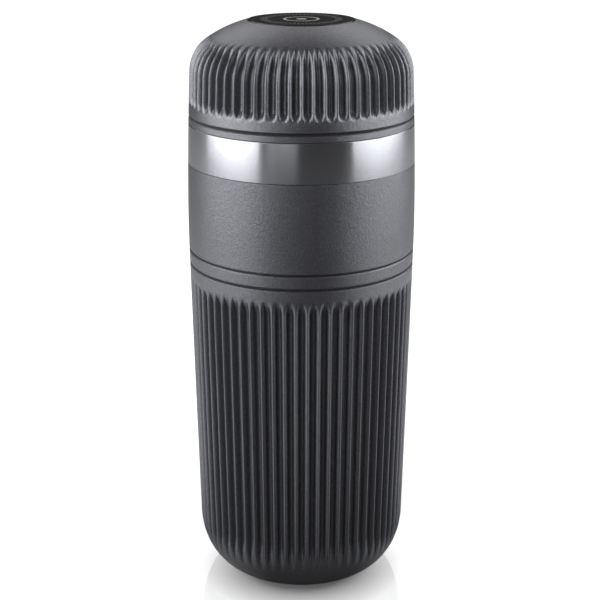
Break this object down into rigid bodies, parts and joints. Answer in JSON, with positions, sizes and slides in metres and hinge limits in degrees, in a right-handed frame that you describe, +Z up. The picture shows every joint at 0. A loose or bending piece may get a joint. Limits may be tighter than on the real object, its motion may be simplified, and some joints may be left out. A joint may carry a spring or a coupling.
{
  "type": "nested espresso travel kit",
  "caption": "Upright screw-together capsule for a handheld espresso machine: fluted water tank, smooth adapter with a steel band, fluted domed cap, baskets and scoop inside.",
  "frame": {"origin": "centre of the tank's foot, on the plane it stands on", "axes": "+Z up along the common axis of tank, adapter and cap; -Y is the front"},
  "size_m": [0.066, 0.066, 0.167],
  "materials": {
    "soft_touch_grey": "fine speckled soft-touch",
    "black_silicone": "matte",
    "grey_silicone": "matte",
    "black_plastic": "fine satin moulding",
    "stainless_sheet": "pressed, satin",
    "band_steel": "polished with a fine brush along its length",
    "gloss_black": "gloss with printed rings"
  },
  "bodies": {
    "tank": {"tank_shell": "soft_touch_grey"},
    "tank_gasket": {"tank_seal": "black_silicone"},
    "collar": {"collar_ring": "soft_touch_grey", "storage_cup": "black_plastic"},
    "collar_gasket": {"collar_seal": "black_silicone"},
    "adapter": {"adapter_shell": "soft_touch_grey", "steel_band": "band_steel", "adapter_rim": "soft_touch_grey", "adapter_core": "black_plastic", "double_basket": "stainless_sheet", "basket_gasket": "black_silicone"},
    "cap_gasket": {"cap_seal": "black_silicone"},
    "cap": {"cap_shell": "soft_touch_grey", "cap_disc": "gloss_black"},
    "head_gasket": {"outlet_gasket": "black_silicone"},
    "head": {"outlet_head": "black_plastic", "outlet_screen": "stainless_sheet", "outlet_nozzle": "grey_silicone"},
    "scoop": {"scoop": "black_plastic"},
    "tamper": {"tamper": "black_plastic"},
    "lower_basket": {"spare_basket_lower": "stainless_sheet"},
    "upper_basket": {"spare_basket_upper": "stainless_sheet"}
  },
  "joints": [
    {"name": "collar_lift", "type": "slide", "parent": "tank", "child": "tank_gasket", "axis": [0, 0, 1], "range_m": [0, 0.0271]},
    {"name": "collar_turn", "type": "hinge", "parent": "tank_gasket", "child": "collar", "pos_m": [0, 0, 0.0972], "axis": [0, 0, 1], "range_deg": [0, 1080]},
    {"name": "adapter_lift", "type": "slide", "parent": "collar", "child": "collar_gasket", "axis": [0, 0, 1], "range_m": [0, 0.0271]},
    {"name": "adapter_turn", "type": "hinge", "parent": "collar_gasket", "child": "adapter", "pos_m": [0, 0, 0.1013], "axis": [0, 0, 1], "range_deg": [0, 1080]},
    {"name": "cap_lift", "type": "slide", "parent": "adapter", "child": "cap_gasket", "axis": [0, 0, 1], "range_m": [0, 0.0271]},
    {"name": "cap_turn", "type": "hinge", "parent": "cap_gasket", "child": "cap", "pos_m": [0, 0, 0.1403], "axis": [0, 0, 1], "range_deg": [0, 1080]},
    {"name": "outlet_lift", "type": "slide", "parent": "adapter", "child": "head_gasket", "axis": [0, 0, 1], "range_m": [0, 0.0091]},
    {"name": "outlet_turn", "type": "hinge", "parent": "head_gasket", "child": "head", "pos_m": [0, 0, 0.144], "axis": [0, 0, 1], "range_deg": [0, 360]},
    {"name": "scoop_lift", "type": "slide", "parent": "tank", "child": "scoop", "axis": [0, 0, 1], "range_m": [0, 0.008]},
    {"name": "tamper_lift", "type": "slide", "parent": "scoop", "child": "tamper", "axis": [0, 0, 1], "range_m": [0, 0.026]},
    {"name": "lower_basket_lift", "type": "slide", "parent": "collar", "child": "lower_basket", "axis": [0, 0, 1], "range_m": [0, 0.0025]},
    {"name": "upper_basket_lift", "type": "slide", "parent": "lower_basket", "child": "upper_basket", "axis": [0, 0, 1], "range_m": [0, 0.005]}
  ],
  "couplings": [
    {"joint": "collar_lift", "follows": "collar_turn", "m_per_rad": 0.0014324},
    {"joint": "adapter_lift", "follows": "adapter_turn", "m_per_rad": 0.0014324},
    {"joint": "cap_lift", "follows": "cap_turn", "m_per_rad": 0.0014324},
    {"joint": "outlet_lift", "follows": "outlet_turn", "m_per_rad": 0.0014324}
  ]
}
